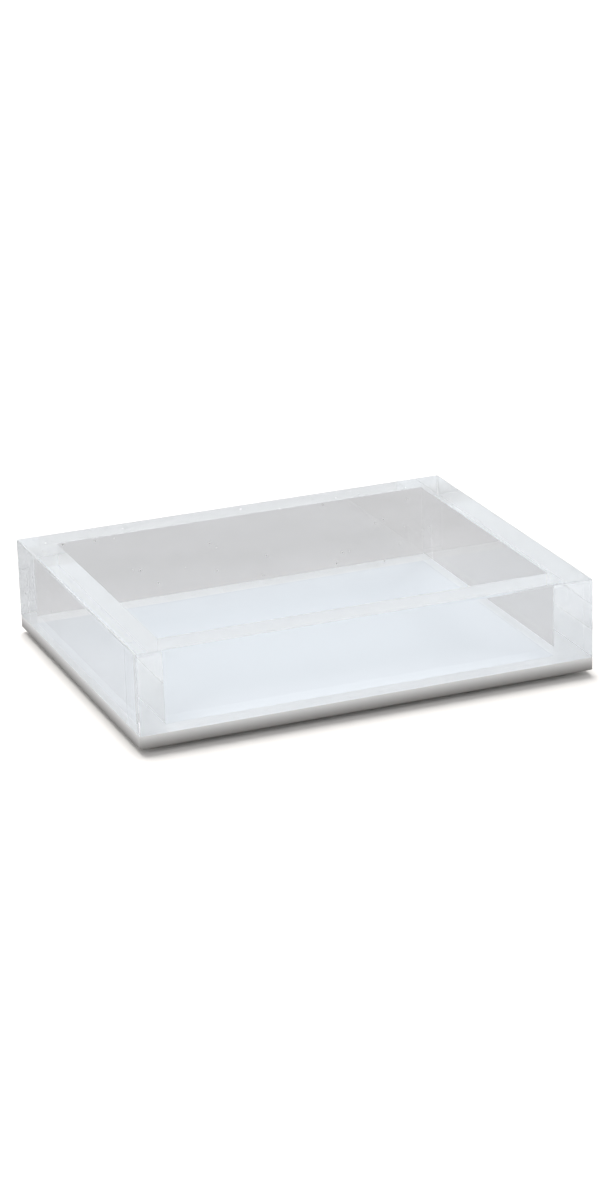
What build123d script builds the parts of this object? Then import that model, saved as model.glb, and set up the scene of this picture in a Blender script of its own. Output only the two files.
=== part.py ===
from build123d import *
import os

# Open shoe box: four thick clear acrylic bars bonded to a white base plate on bumper feet.
# Units are millimetres, +Z is up. The origin is on the surface that the box stands on,
# under the middle of the box. X runs along the box's length, and the front faces -Y.

os.makedirs("parts", exist_ok=True)

# Overall outline: the walls and the base plate are flush on all four sides
box_length = 356.0
box_width = 280.0

# Clear walls, cut from one-inch sheet
wall_thickness = 25.0
wall_height = 62.0
wall_edge_break = 1.5  # polished bevel on every exposed outer edge

# White base plate
base_thickness = 10.0
base_corner_radius = 1.5  # rounding of the plate's four upright corners
base_edge_break = 0.8  # small bevel around the plate's lower rim

# Bumper feet, stuck under the base plate near its corners
foot_height = 4.0
foot_diameter = 13.0
foot_taper = 15.0  # degrees that the foot's side leans in towards the floor
foot_inset = 25.0  # from the plate's two edges to the foot's middle
foot_edge_radius = 1.0  # rounding around the sole of the foot

# Heights of the stack, from the surface up
base_bottom = foot_height
base_top = base_bottom + base_thickness
wall_top = base_top + wall_height

# Middle lines of the walls
long_wall_y = (box_width - wall_thickness) / 2
short_wall_x = (box_length - wall_thickness) / 2
short_wall_length = box_width - 2 * wall_thickness  # fits between the two long walls


def save(part, name):
    """Label one finished piece and write it to its own file."""
    part.label = name
    export_step(part, f"parts/{name}.step")


# Base plate: one sheet with rounded corners and a softened lower rim
with BuildPart() as base_plate:
    with BuildSketch(Plane.XY.offset(base_bottom)):
        RectangleRounded(box_length, box_width, base_corner_radius)
    extrude(amount=base_thickness)
    lower_rim = base_plate.faces().sort_by(Axis.Z)[0].edges()
    chamfer(lower_rim, base_edge_break)
save(base_plate.part, "base_plate")


# Front and back walls: full-length bars, bevelled along the top and at both outer corners
for name, side in (("front_wall", -1), ("back_wall", 1)):
    with BuildPart() as long_wall:
        with BuildSketch(Plane((0, side * long_wall_y, base_top))):
            Rectangle(box_length, wall_thickness)
        extrude(amount=wall_height)
        outer_face = long_wall.faces().sort_by(Axis.Y)[0 if side < 0 else -1]
        top_face = long_wall.faces().sort_by(Axis.Z)[-1]
        outer_uprights = outer_face.edges().filter_by(Axis.Z)
        outer_top = outer_face.edges().filter_by(Axis.X).sort_by(Axis.Z)[-1]
        top_ends = top_face.edges().filter_by(Axis.Y)
        chamfer([*outer_uprights, outer_top, *top_ends], wall_edge_break)
    save(long_wall.part, name)


# Left and right walls: shorter bars butted between the long ones, bevelled along the top
for name, side in (("left_wall", -1), ("right_wall", 1)):
    with BuildPart() as short_wall:
        with BuildSketch(Plane((side * short_wall_x, 0, base_top))):
            Rectangle(wall_thickness, short_wall_length)
        extrude(amount=wall_height)
        outer_face = short_wall.faces().sort_by(Axis.X)[0 if side < 0 else -1]
        outer_top = outer_face.edges().filter_by(Axis.Y).sort_by(Axis.Z)[-1]
        chamfer(outer_top, wall_edge_break)
    save(short_wall.part, name)


# Feet: four stick-on bumpers, widest where they meet the plate
foot_x = box_length / 2 - foot_inset
foot_y = box_width / 2 - foot_inset
feet = {
    "foot_front_left": (-foot_x, -foot_y),
    "foot_front_right": (foot_x, -foot_y),
    "foot_back_left": (-foot_x, foot_y),
    "foot_back_right": (foot_x, foot_y),
}
for name, (x, y) in feet.items():
    with BuildPart() as foot:
        with BuildSketch(Plane((x, y, foot_height), z_dir=(0, 0, -1))):
            Circle(foot_diameter / 2)
        extrude(amount=foot_height, taper=foot_taper)
        sole_edge = foot.faces().sort_by(Axis.Z)[0].edges()
        fillet(sole_edge, foot_edge_radius)
    save(foot.part, name)

print(f"shoe box {box_length} x {box_width} x {wall_top} mm")
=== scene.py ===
# %% [markdown]
# # A clear acrylic shoe box
#
# The box is a shallow open tray. Four bars of thick clear acrylic stand on a white acrylic plate, and
# four soft bumper feet lift the plate a few millimetres off the table. This file takes the engineer's
# sizes as a fixed frame and gives every piece its finish. All lengths are in metres.

# %% Load the frame
import math

import bmesh
import bpy
from mathutils import Matrix, Vector


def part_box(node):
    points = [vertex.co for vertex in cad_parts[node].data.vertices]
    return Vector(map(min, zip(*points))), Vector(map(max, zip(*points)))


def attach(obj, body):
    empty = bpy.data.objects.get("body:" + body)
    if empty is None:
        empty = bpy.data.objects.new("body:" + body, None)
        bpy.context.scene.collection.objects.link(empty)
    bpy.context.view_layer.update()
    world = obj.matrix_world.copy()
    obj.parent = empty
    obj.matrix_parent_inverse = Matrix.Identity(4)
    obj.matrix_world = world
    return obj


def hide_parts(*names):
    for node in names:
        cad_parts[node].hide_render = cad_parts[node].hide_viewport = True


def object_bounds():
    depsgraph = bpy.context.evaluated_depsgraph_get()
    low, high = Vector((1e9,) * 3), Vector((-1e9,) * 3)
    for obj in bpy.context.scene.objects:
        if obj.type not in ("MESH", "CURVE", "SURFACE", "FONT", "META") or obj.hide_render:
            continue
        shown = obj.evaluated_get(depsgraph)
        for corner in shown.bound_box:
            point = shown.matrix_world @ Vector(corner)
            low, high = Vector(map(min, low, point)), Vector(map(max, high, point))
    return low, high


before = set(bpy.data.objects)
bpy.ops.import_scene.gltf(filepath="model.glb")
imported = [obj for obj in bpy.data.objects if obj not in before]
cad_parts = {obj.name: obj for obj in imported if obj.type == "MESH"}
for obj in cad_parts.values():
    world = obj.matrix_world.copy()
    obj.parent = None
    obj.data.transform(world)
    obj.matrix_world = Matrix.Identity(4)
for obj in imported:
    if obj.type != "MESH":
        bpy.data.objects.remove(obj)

MM = 0.001
cad_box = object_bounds()
print("frame box", [[round(v, 4) for v in corner] for corner in cad_box])

# %% [markdown]
# ## The camera
#
# A product shot of a low box looks down on it at about twenty degrees, so that the inside shows as well
# as two sides. A long lens keeps the edges nearly parallel. The camera circles a point near the plate: an
# azimuth and an elevation say where it stands, and a small roll tilts the horizon. Working from angles,
# instead of typed coordinates, makes it easy to see and to change what the camera does.

# %% Camera
AZIMUTH = math.radians(-21.3)
ELEVATION = math.radians(19.92)
ROLL = math.radians(-1.8)
DISTANCE = 2.624
LENS_MM = 100.7
SENSOR_MM = 36.0
AIM_X = 32.4 * MM
AIM_Y = 71.3 * MM

plate_low, plate_high = (Vector(corner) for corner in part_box("base_plate"))
aim = Vector((AIM_X, AIM_Y, plate_high.z))


def orbit(azimuth, elevation):
    """The direction from the aim to a camera at these angles."""
    level = math.cos(elevation)
    return Vector((math.sin(azimuth) * level, -math.cos(azimuth) * level, math.sin(elevation)))


back = orbit(AZIMUTH, ELEVATION)
right = Vector((0, 0, 1)).cross(back).normalized()
up = back.cross(right)
turned_right = right * math.cos(ROLL) + up * math.sin(ROLL)
turned_up = up * math.cos(ROLL) - right * math.sin(ROLL)
stand = aim + back * DISTANCE

lens = bpy.data.cameras.new("product_lens")
lens.lens = LENS_MM
lens.sensor_width = SENSOR_MM
camera = bpy.data.objects.new("camera", lens)
camera.matrix_world = Matrix((
    (turned_right.x, turned_up.x, back.x, stand.x),
    (turned_right.y, turned_up.y, back.y, stand.y),
    (turned_right.z, turned_up.z, back.z, stand.z),
    (0, 0, 0, 1),
))
bpy.context.scene.collection.objects.link(camera)
bpy.context.scene.camera = camera
print("camera stands at", [round(v, 3) for v in stand])

# %% [markdown]
# ## Shader maths as plain Python
#
# A material is a graph of nodes. Typed out node by node it is long and hard to read, so a small class
# wraps one socket and lets + - * / and ** add the Math nodes. The reflected forms make 1 - mask work too.

# %% One number over a surface


class Value:
    """One number that changes over a surface. Arithmetic on it adds Math nodes."""

    def __init__(self, recipe, socket):
        self.recipe = recipe
        self.socket = socket

    def math(self, operation, *terms):
        return self.recipe.add("ShaderNodeMath", {"operation": operation}, dict(enumerate(terms)))

    def __add__(self, other):
        return self.math("ADD", self, other)

    def __radd__(self, other):
        return self.math("ADD", other, self)

    def __sub__(self, other):
        return self.math("SUBTRACT", self, other)

    def __rsub__(self, other):
        return self.math("SUBTRACT", other, self)

    def __mul__(self, other):
        return self.math("MULTIPLY", self, other)

    def __rmul__(self, other):
        return self.math("MULTIPLY", other, self)

    def __truediv__(self, other):
        return self.math("DIVIDE", self, other)

    def __pow__(self, other):
        return self.math("POWER", self, other)

    def at_least(self, floor):
        return self.math("MAXIMUM", self, floor)

    def above(self, level):
        """One where the number is above this level, and zero elsewhere."""
        return self.math("GREATER_THAN", self, level)

    def size(self):
        """The number without its sign."""
        return self.math("ABSOLUTE", self)


print("numbers over a surface can be added, multiplied and compared")

# %% [markdown]
# ## One material at a time
#
# A second class holds one material while it is wired. Its method add takes any other node: its type, then
# its settings, then what goes into its sockets. The rest are the few patterns that this box needs. All of
# them read the place on the object itself, so a pattern stays where it is when the camera moves.

# %% One material


class Recipe:
    """One procedural material while it is being wired."""

    def __init__(self, name):
        self.material = bpy.data.materials.new(name)
        self.material.use_nodes = True
        self.tree = self.material.node_tree
        self.tree.nodes.clear()
        self.end = self.tree.nodes.new("ShaderNodeOutputMaterial")

    def add(self, kind, settings=None, sockets=None, output=0):
        """Adds a node of this kind and returns one of its outputs."""
        node = self.tree.nodes.new(kind)
        for key, value in (settings or {}).items():
            if key == "stops":
                self.set_stops(node.color_ramp, value)
            else:
                setattr(node, key, value)
        for key, value in (sockets or {}).items():
            if isinstance(value, Value):
                self.tree.links.new(value.socket, node.inputs[key])
            else:
                node.inputs[key].default_value = value
        return Value(self, node.outputs[output])

    @staticmethod
    def set_stops(ramp, stops):
        """Gives a colour ramp these (position, grey) stops."""
        while len(ramp.elements) < len(stops):
            ramp.elements.new(0.5)
        for element, (position, grey) in zip(ramp.elements, stops):
            element.position = position
            element.color = (grey, grey, grey, 1)

    def blend(self, amount, low, high):
        """A colour that goes from low to high as amount goes from 0 to 1."""
        return self.add("ShaderNodeMix", {"data_type": "RGBA"}, {0: amount, 6: low, 7: high}, output=2)

    def noise(self, size, detail=2.0, roughness=0.5):
        """Soft blotches about this many metres across, from 0 to 1."""
        place = self.add("ShaderNodeTexCoord", output="Object")
        waves = {"Vector": place, "Scale": 1 / size, "Detail": detail, "Roughness": roughness}
        return self.add("ShaderNodeTexNoise", None, waves)

    def specks(self, spacing, share):
        """One inside small balls this far apart, whose radius is this share of the spacing, else zero."""
        place = self.add("ShaderNodeTexCoord", output="Object")
        cells = {"Vector": place, "Scale": 1 / spacing}
        distance = self.add("ShaderNodeTexVoronoi", None, cells, output="Distance")
        return 1 - distance.above(share)

    def along(self, axis):
        """Where the surface lies along the axis X, Y or Z, in metres."""
        place = self.add("ShaderNodeTexCoord", output="Object")
        return self.add("ShaderNodeSeparateXYZ", None, {"Vector": place}, output=axis)

    def depth_inside(self, half_x, half_y):
        """How far a point lies inside a rectangle of these half sizes, in metres. Outside it is negative."""
        room_x = half_x - self.along("X").size()
        room_y = half_y - self.along("Y").size()
        return room_x.math("MINIMUM", room_x, room_y)

    def relief(self, depth, pattern):
        """A normal that follows a pattern of this depth in metres."""
        return self.add("ShaderNodeBump", None, {"Strength": 1.0, "Distance": depth, "Height": pattern})

    def finish(self, shader):
        self.tree.links.new(shader.socket, self.end.inputs["Surface"])
        print("material", self.material.name, "has", len(self.tree.nodes), "nodes")
        return self.material


print("a recipe adds nodes, blends colours and reads the place on a piece")

# %% [markdown]
# ## Clear acrylic
#
# Acrylic is clearer than glass and bends light a little less, with an index of 1.49. Thick cast sheet is
# never quite flat: its faces wave by a few hundredths of a millimetre, which ripples what is seen through
# it, and its polished faces hold faint wipe marks. A Principled shader at full transmission gives the
# bending and the mirroring. The ripple is a bump and the wipe marks a change of roughness. Dust clings to
# acrylic, and a few specks sit on the back bar, where a cloth reaches last. They are small balls strewn
# through space, and a speck shows where a face happens to cut one, so none is placed by hand.

# %% Clear acrylic
ACRYLIC_IOR = 1.49
CLEAR = (0.996, 0.998, 1.0, 1)
DUST = (0.95, 0.95, 0.95, 1)
CAST_RIPPLE = 0.03 * MM
WIPE_ROUGHNESS = 0.02
DUST_SPACING = 12 * MM
SPECK_SHARE = 0.06
DUST_ROUGHNESS = 0.8
DUSTY_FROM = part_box("back_wall")[0][1] - MM


def clear_acrylic():
    recipe = Recipe("clear_acrylic")
    ripple = recipe.noise(size=45 * MM, detail=1.0)
    wipes = recipe.noise(size=12 * MM, detail=4.0, roughness=0.6)
    specks = recipe.specks(DUST_SPACING, SPECK_SHARE) * recipe.along("Y").above(DUSTY_FROM)
    surface = {
        "Base Color": recipe.blend(specks, CLEAR, DUST),
        "Transmission Weight": 1.0,
        "IOR": ACRYLIC_IOR,
        "Roughness": wipes * WIPE_ROUGHNESS + specks * DUST_ROUGHNESS,
        "Normal": recipe.relief(CAST_RIPPLE, ripple),
    }
    return recipe.finish(recipe.add("ShaderNodeBsdfPrincipled", None, surface))


acrylic = clear_acrylic()

# %% [markdown]
# ## Cemented joints
#
# The bars are joined with a solvent that melts both faces into one, so light crosses a joint without
# bending. Two closed bars that only touch would show a mirror there instead. So the faces that meet, and
# the undersides that are cemented to the plate, get a see-through material of their own. Each bar stays a
# closed mesh, and the four still look like one block. A little haze in blotches stands for the cement,
# which never dries quite evenly.

# %% Cemented joint
MELTED = (0.998, 0.999, 1.0, 1)
CEMENT = (0.9, 0.92, 0.94, 1)
HAZE_FROM = 0.55
HAZE_FULL = 0.8
MOST_HAZE = 0.04


def cemented_joint():
    recipe = Recipe("cemented_joint")
    blotches = recipe.noise(size=6 * MM, detail=3.0)
    stops = [(HAZE_FROM, 0.0), (HAZE_FULL, MOST_HAZE)]
    haze = recipe.add("ShaderNodeValToRGB", {"stops": stops}, {"Fac": blotches})
    clear = recipe.add("ShaderNodeBsdfTransparent", None, {"Color": MELTED})
    white = recipe.add("ShaderNodeBsdfDiffuse", None, {"Color": CEMENT})
    return recipe.finish(recipe.add("ShaderNodeMixShader", None, {0: haze, 1: clear, 2: white}))


joint = cemented_joint()

# %% [markdown]
# ## A block that can be cut and bevelled
#
# Every sheet of the box is a sawn block. A plain cube won't do, because one face of a bar carries both
# polished acrylic and a cemented joint. The block here is built from a grid: the places of the cuts along
# each axis are given, and each patch between them becomes a face of its own.

# %% Cut block
SAME_PLACE = 0.001 * MM


def near(value, target):
    return abs(value - target) < SAME_PLACE


def grid_block(cuts_x, cuts_y, cuts_z):
    """A closed block whose faces are cut at these places along each axis."""
    block = bmesh.new()
    corners = {}

    def corner(*at):
        if at not in corners:
            corners[at] = block.verts.new(at)
        return corners[at]

    cuts = (cuts_x, cuts_y, cuts_z)
    for axis in range(3):
        first, second = [other for other in range(3) if other != axis]
        for level in (cuts[axis][0], cuts[axis][-1]):
            for a0, a1 in zip(cuts[first], cuts[first][1:]):
                for b0, b1 in zip(cuts[second], cuts[second][1:]):
                    quad = []
                    for a, b in ((a0, b0), (a1, b0), (a1, b1), (a0, b1)):
                        at = [level, level, level]
                        at[first] = a
                        at[second] = b
                        quad.append(corner(*at))
                    block.faces.new(quad)
    bmesh.ops.recalc_face_normals(block, faces=block.faces)
    return block


outer_low, outer_high = plate_low, plate_high
inner_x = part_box("right_wall")[0][0]
inner_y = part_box("back_wall")[0][1]
print("inside of the box measures", round(2 * inner_x, 4), "by", round(2 * inner_y, 4))

# %% [markdown]
# ## Polished edges
#
# The Bevel modifier can read a weight on each edge, so one modifier makes bevels of several widths: the
# broad one round the outer rim, finer ones at the upright corners and the inner rim, and a hairline groove
# where two bars meet. The broad faces have to stay perfectly flat, or light would bend in them as in a
# lens, so only the faces of the bevels themselves are shaded smooth.

# %% Bevel by weight
WEIGHTS = "bevel_weight_edge"
FLAT_TURN = 0.999


def new_piece(name, block, materials):
    """Turns a finished block into an object with these materials."""
    mesh = bpy.data.meshes.new(name)
    block.to_mesh(mesh)
    block.free()
    piece = bpy.data.objects.new(name, mesh)
    bpy.context.scene.collection.objects.link(piece)
    for material in materials:
        mesh.materials.append(material)
    return piece


def bevel_by_weight(piece, width, segments):
    """Bevels the weighted edges, and keeps the broad faces flat between the rounded edges."""
    bevel = piece.modifiers.new("polished_edges", "BEVEL")
    bevel.limit_method = "WEIGHT"
    bevel.width = width
    bevel.segments = segments
    shown = piece.evaluated_get(bpy.context.evaluated_depsgraph_get())
    finished = bpy.data.meshes.new_from_object(shown)
    piece.modifiers.clear()
    piece.data = finished
    for face in finished.polygons:
        face.use_smooth = max(abs(part) for part in face.normal) < FLAT_TURN
    print(piece.name, "has", len(finished.polygons), "faces")


flat_degrees = math.degrees(math.acos(FLAT_TURN))
print("a face within", round(flat_degrees, 1), "degrees of an axis is shaded flat")

# %% [markdown]
# ## The four clear bars
#
# The front and back bars run the whole length of the box, and the left and right bars fit between them.
# Each is cut where its neighbour starts, so that the faces that meet carry the joint's material. Two such
# faces share one place, which does no harm because both are see-through. The plate is opaque, and a face
# in the very same place could flicker, so a bar stands a fiftieth of a millimetre above it. Every bevel
# is given as a share of the outer rim's.

# %% Which edges are bevelled
OUTER_RIM = 1.5 * MM
UPRIGHT_CORNER = 0.4
INNER_RIM = 0.12
GROOVE = 0.2
GROOVE_ON_TOP = 0.033
JOINT_GAP = 0.02 * MM


def edge_weight(a, b):
    """How far the edge from a to b is bevelled, as a share of the outer rim's bevel."""
    middle = (a + b) / 2
    upright = not near(a.z, b.z)
    on_side = near(abs(middle.x), outer_high.x)
    on_face = near(abs(middle.y), outer_high.y)
    on_top = near(middle.z, cad_box[1][2])
    if on_top and (on_side or on_face):
        return 1.0
    if upright and on_side:
        return UPRIGHT_CORNER if on_face else GROOVE
    if on_top and (near(abs(middle.x), inner_x) or near(abs(middle.y), inner_y)):
        in_joint = abs(middle.x) > inner_x + MM
        return GROOVE_ON_TOP if in_joint else INNER_RIM
    return 0.0


print("the outer rim's bevel is", OUTER_RIM, "and the inner rim's", round(OUTER_RIM * INNER_RIM, 5))

# %% Bars


def clear_bar(name, node, cuts_x, cuts_y):
    """One block of acrylic, cut where its neighbours start."""
    low, high = (Vector(corner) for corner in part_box(node))
    cuts_z = (low.z + JOINT_GAP, high.z)
    block = grid_block(cuts_x, cuts_y, cuts_z)
    weights = block.edges.layers.float.new(WEIGHTS)
    for edge in block.edges:
        edge[weights] = edge_weight(edge.verts[0].co, edge.verts[1].co)
    for face in block.faces:
        middle = face.calc_center_median()
        under = near(middle.z, cuts_z[0])
        meets = near(abs(middle.y), inner_y) and abs(middle.x) > inner_x
        face.material_index = 1 if under or meets else 0
    bar = new_piece(name, block, (acrylic, joint))
    bevel_by_weight(bar, OUTER_RIM, segments=2)
    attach(bar, "root")
    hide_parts(node)


long_cuts = (outer_low.x, -inner_x, inner_x, outer_high.x)
clear_bar("front_bar", "front_wall", long_cuts, (outer_low.y, -inner_y))
clear_bar("back_bar", "back_wall", long_cuts, (inner_y, outer_high.y))
clear_bar("left_bar", "left_wall", (outer_low.x, -inner_x), (-inner_y, inner_y))
clear_bar("right_bar", "right_wall", (inner_x, outer_high.x), (-inner_y, inner_y))

# %% [markdown]
# ## White acrylic
#
# The real plate is one sheet of opaque white acrylic with a satin face, and has one colour all over. What
# changes across it is light. It looks whitest where it is cemented under the bars and no air parts it
# from the clear acrylic, the open floor is lighter near the bars, and the sides go dark towards the
# table. With one plain white, the lamps of this scene burn the open floor out and leave the corners dull.
# So this shading is painted into the colour, worked out from the place on the plate: on a flat face or a
# side, under a bar or open, and how high. Two parts of it have no better reason than that they look
# right: the floor is lightest towards the back right corner, and the plate is duller under the back bar.
# The price is that the painted shading stays on the plate under any other light. The roughness never
# falls low enough for the plate to mirror the bars.

# %% White acrylic
MIDDLE_FLOOR = ((0.54, 0.575, 0.61, 1), (0.56, 0.595, 0.63, 1))
FLOOR_AT_BARS = (0.765, 0.803, 0.843, 1)
BONDED = ((0.927, 0.957, 0.982, 1), (0.942, 0.967, 0.987, 1))
BONDED_AT_BACK = (0.86, 0.875, 0.885, 1)
SIDE = ((0.17, 0.162, 0.154, 1), (0.58, 0.58, 0.58, 1))
FLAT_SKIN = 0.05 * MM
SIDE_FALL = 1.25
EDGE_GLOW = 60 * MM
EVEN_GLOW = 0.7
SATIN = 0.32
SATIN_SPREAD = 0.08
PLATE_RIPPLE = 0.02 * MM


def white_acrylic():
    recipe = Recipe("white_acrylic")
    clouds = recipe.noise(size=50 * MM, detail=3.0)
    height = recipe.along("Z") - plate_low.z
    half_thickness = (plate_high.z - plate_low.z) / 2
    rise = height / (2 * half_thickness)
    on_flat = (height - half_thickness).size().above(half_thickness - FLAT_SKIN)
    depth = recipe.depth_inside(inner_x, inner_y)
    near_bars = (1 - depth / EDGE_GLOW).at_least(0.0) ** 2
    to_corner = (recipe.along("X") / inner_x + recipe.along("Y") / inner_y - 1).at_least(0.0)
    glow = near_bars * (EVEN_GLOW + (1 - EVEN_GLOW) * to_corner)
    open_floor = recipe.blend(glow, recipe.blend(clouds, *MIDDLE_FLOOR), FLOOR_AT_BARS)
    at_back = recipe.along("Y").above(inner_y)
    bonded = recipe.blend(at_back, recipe.blend(clouds, *BONDED), BONDED_AT_BACK)
    flat = recipe.blend(depth.above(0.0), bonded, open_floor)
    side = recipe.blend(rise ** SIDE_FALL, *SIDE)
    surface = {
        "Base Color": recipe.blend(on_flat, side, flat),
        "Roughness": SATIN + SATIN_SPREAD * recipe.noise(size=10 * MM, detail=4.0),
        "IOR": ACRYLIC_IOR,
        "Normal": recipe.relief(PLATE_RIPPLE, recipe.noise(size=20 * MM)),
    }
    return recipe.finish(recipe.add("ShaderNodeBsdfPrincipled", None, surface))


white = white_acrylic()

# %% [markdown]
# ## The white plate
#
# The plate is one sheet, flush with the bars. Its upright corners are rounded most, its lower rim less,
# and the upper rim has only the fine break that a scraper leaves before the bars are cemented on.

# %% White plate
PLATE_CORNER = 1.5 * MM
LOWER_RIM = 0.8 * MM
UPPER_RIM = 0.15 * MM


def white_plate():
    block = grid_block((outer_low.x, outer_high.x), (outer_low.y, outer_high.y), (plate_low.z, plate_high.z))
    weights = block.edges.layers.float.new(WEIGHTS)
    for edge in block.edges:
        a, b = (vert.co for vert in edge.verts)
        if not near(a.z, b.z):
            edge[weights] = 1.0
        elif near(a.z, plate_low.z):
            edge[weights] = LOWER_RIM / PLATE_CORNER
        else:
            edge[weights] = UPPER_RIM / PLATE_CORNER
    plate = new_piece("white_plate", block, (white,))
    bevel_by_weight(plate, PLATE_CORNER, segments=4)
    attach(plate, "root")
    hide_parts("base_plate")
    return plate


plate = white_plate()

# %% [markdown]
# ## Bumper rubber
#
# Stick-on bumpers are cast in a soft clear rubber that turns milky with dust and handling. Little can be
# made out through four millimetres of it, right under a white plate, so an opaque pale surface with a
# dusty bloom stands in for it.

# %% Bumper rubber
RUBBER_IOR = 1.45
MILKY = ((0.78, 0.8, 0.8, 1), (0.88, 0.89, 0.89, 1))
RUBBER_ROUGHNESS = 0.3
BLOOM_ROUGHNESS = 0.2
BLOOM_DEPTH = 0.03 * MM


def soft_rubber():
    recipe = Recipe("soft_clear_rubber")
    dust = recipe.noise(size=1.5 * MM, detail=4.0)
    surface = {
        "Base Color": recipe.blend(dust, *MILKY),
        "Roughness": RUBBER_ROUGHNESS + BLOOM_ROUGHNESS * dust,
        "IOR": RUBBER_IOR,
        "Normal": recipe.relief(BLOOM_DEPTH, dust),
    }
    return recipe.finish(recipe.add("ShaderNodeBsdfPrincipled", None, surface))


rubber = soft_rubber()

# %% [markdown]
# ## The bumper feet
#
# A bumper is a turned shape, so its profile is drawn once and spun round: a flank that leans in from the
# plate, a shoulder that is an arc tangent to flank and sole, and a flat sole. The arc's points come from
# its angle, so a rounder shoulder only needs another number.

# %% Bumper feet
FOOT_STEPS = 48
SHOULDER_STEPS = 6
SHOULDER = 1.0 * MM
LEAN = math.radians(15)
QUARTER = math.radians(90)


def foot_profile(radius, low_z, high_z):
    """Points (distance from the axis, height) from the plate down to the rim of the sole."""
    sole = radius - (high_z - low_z) * math.tan(LEAN)
    turning = QUARTER - LEAN
    centre = sole - SHOULDER * math.tan(turning / 2)
    profile = [(radius, high_z)]
    for step in range(SHOULDER_STEPS + 1):
        turn = LEAN + turning * step / SHOULDER_STEPS
        out = centre + SHOULDER * math.cos(turn)
        profile.append((out, low_z + SHOULDER - SHOULDER * math.sin(turn)))
    return profile


def bumper_foot(node):
    """Spins the profile about the foot's own upright axis."""
    low, high = (Vector(corner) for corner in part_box(node))
    middle = (low + high) / 2
    disc = bmesh.new()
    rings = []
    for out, level in foot_profile((high.x - low.x) / 2, low.z, high.z):
        ring = []
        for step in range(FOOT_STEPS):
            turn = math.tau * step / FOOT_STEPS
            spot = (middle.x + out * math.cos(turn), middle.y + out * math.sin(turn), level)
            ring.append(disc.verts.new(spot))
        rings.append(ring)
    for upper, lower in zip(rings, rings[1:]):
        for step in range(FOOT_STEPS):
            after = (step + 1) % FOOT_STEPS
            disc.faces.new((upper[step], lower[step], lower[after], upper[after]))
    disc.faces.new(rings[0])
    disc.faces.new(rings[-1][::-1])
    bmesh.ops.recalc_face_normals(disc, faces=disc.faces)
    for face in disc.faces:
        face.smooth = len(face.verts) == 4
    foot = new_piece(node.replace("foot", "bumper"), disc, (rubber,))
    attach(foot, "root")
    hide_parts(node)
    return foot


nodes = ("foot_front_left", "foot_front_right", "foot_back_left", "foot_back_right")
feet = [bumper_foot(node) for node in nodes]
print("bumper feet", [foot.name for foot in feet])

# %% [markdown]
# ## The table
#
# The table isn't part of the box, but clear acrylic shows little more than what lies behind it. A
# catalogue often cuts the ground away to pure white round a clear box, and the grey of the real ground
# stays where it shows through the bars. No plain table gives both: a pale one turns the bars pure white
# too. So this one is a stage trick and not a real surface. The Light Path node tells how a ray came to
# the table. Straight from the camera it meets a pale tone that the table's own lamp brings to white.
# After a bounce off a matt surface it meets the same tone, so the box is lit as on a pale table. Any
# other ray has gone through the acrylic or been mirrored in it, and meets a grey, faintly clouded and a
# little lighter close to the box. That lightness is painted light, a pool as if the white plate threw
# light back onto the table. The grey seen in the bars belongs to this table, not to the acrylic.

# %% Table
TABLE_SIZE = 12.0
PALE = (0.475, 0.46, 0.445, 1)
SEEN_THROUGH = ((0.2, 0.199, 0.199, 1), (0.277, 0.275, 0.279, 1))
# How far the painted pool of light round the box reaches on the grey seen through the bars.
PAINTED_LIGHT_REACH = 100 * MM


def table_paint():
    recipe = Recipe("pale_table")
    direct = recipe.add("ShaderNodeLightPath", output="Is Camera Ray")
    bounces = recipe.add("ShaderNodeLightPath", output="Diffuse Depth")
    depth = recipe.depth_inside(outer_high.x, outer_high.y)
    # Painted light: the grey seen through the bars gets lighter close to the box, as if the white plate
    # threw light back.
    painted_spill_light = (1 + depth / PAINTED_LIGHT_REACH).at_least(0.0)
    clouds = recipe.noise(size=60 * MM, detail=5.0, roughness=0.7)
    through = recipe.blend((painted_spill_light + clouds) / 2, *SEEN_THROUGH)
    colour = recipe.blend(direct + bounces.above(0.0), through, PALE)
    return recipe.finish(recipe.add("ShaderNodeBsdfDiffuse", None, {"Color": colour}))


reach = TABLE_SIZE / 2
corners = [(-reach, -reach, 0), (reach, -reach, 0), (reach, reach, 0), (-reach, reach, 0)]
table_mesh = bpy.data.meshes.new("table")
table_mesh.from_pydata(corners, [], [(0, 1, 2, 3)])
table_mesh.materials.append(table_paint())
table = bpy.data.objects.new("table", table_mesh)
bpy.context.scene.collection.objects.link(table)
print("table is", TABLE_SIZE, "across")

# %% [markdown]
# ## Light all round
#
# Clear things look best in even light from everywhere, as in a tent of white cloth. The world gives that
# light. The Standard view keeps white white, where a film-like view would dull it.

# %% World
DAYLIGHT = (0.97, 0.985, 1.0, 1)
DAYLIGHT_STRENGTH = 1.19

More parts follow.
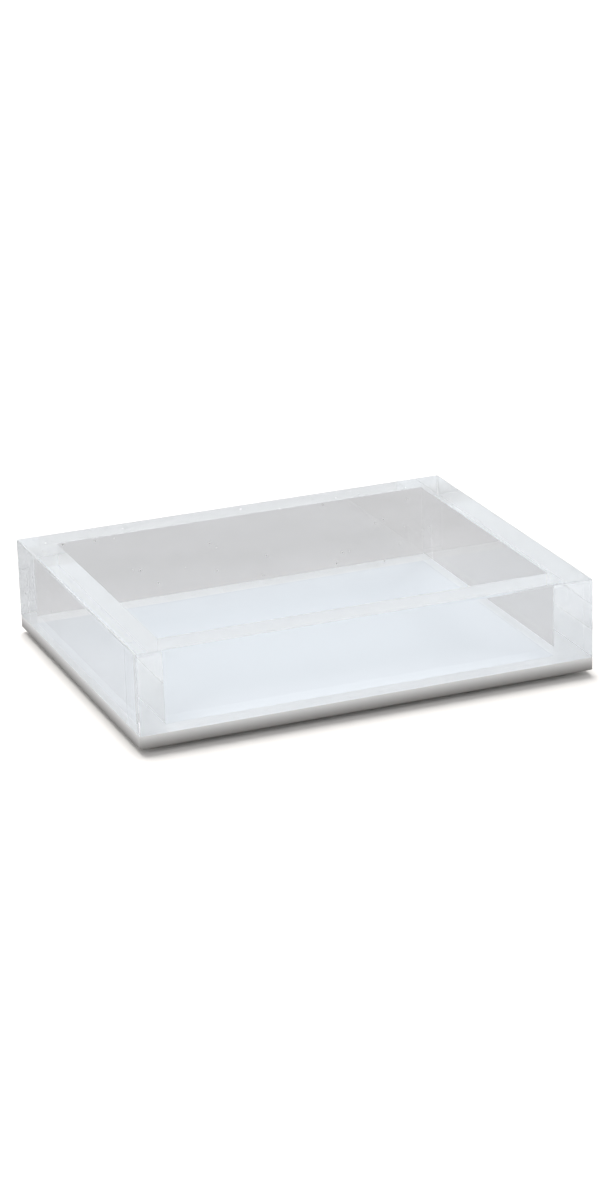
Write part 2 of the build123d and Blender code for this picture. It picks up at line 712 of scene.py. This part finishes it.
world = bpy.data.worlds.new("studio")
world.use_nodes = True
backdrop = world.node_tree.nodes["Background"]
backdrop.inputs["Color"].default_value = DAYLIGHT
backdrop.inputs["Strength"].default_value = DAYLIGHT_STRENGTH
bpy.context.scene.world = world
bpy.context.scene.view_settings.view_transform = "Standard"
print("world light", DAYLIGHT_STRENGTH)

# %% [markdown]
# ## Two lamps
#
# A weak softbox overhead lifts the tops of the bars and the floor. The second lamp stands high and far
# behind the box, so that it lights the whole table evenly, and lights nothing else: light linking gives a
# lamp a list of what it lights and a list of what can shade it, which no real lamp has. Only the white
# plate and the feet shade this one, so a narrow dark shadow lies along the front of the box, and the
# clear bars throw none.

# %% Lamps


def softbox(name, place, size, power):
    """A square soft light that faces the box."""
    lamp = bpy.data.lights.new(name, "AREA")
    lamp.size = size
    lamp.energy = power
    box = bpy.data.objects.new(name, lamp)
    box.location = place
    box.rotation_euler = (-Vector(place)).to_track_quat("-Z", "Y").to_euler()
    bpy.context.scene.collection.objects.link(box)
    print(name, "gives", power, "watts")
    return box


def listing(name, members):
    """A collection that only lists these objects for a lamp."""
    listed = bpy.data.collections.new(name)
    for member in members:
        listed.objects.link(member)
    return listed


softbox("overhead_softbox", place=(-0.35, 1.2, 2.0), size=2.6, power=26)
table_lamp = softbox("table_lamp", place=(2.0, 13.6, 19.6), size=17.6, power=10400)
table_lamp.light_linking.receiver_collection = listing("lit_by_table_lamp", [table])
table_lamp.light_linking.blocker_collection = listing("shade_table_lamp", [plate] + feet)

# %% [markdown]
# ## Long light paths
#
# Light turns many times inside a thick clear bar. The usual limit is twelve turns. Following it for longer
# changes little here but the shade of one corner block, and takes hardly any more time, so the limit is
# set well out of the way.

# %% Light paths
MOST_TURNS = 32
MOST_MATT_TURNS = 12

paths = bpy.context.scene.cycles
paths.max_bounces = MOST_TURNS
paths.diffuse_bounces = MOST_MATT_TURNS
paths.glossy_bounces = MOST_TURNS
paths.transmission_bounces = MOST_TURNS
paths.transparent_max_bounces = MOST_TURNS
print("light is followed for", MOST_TURNS, "turns")
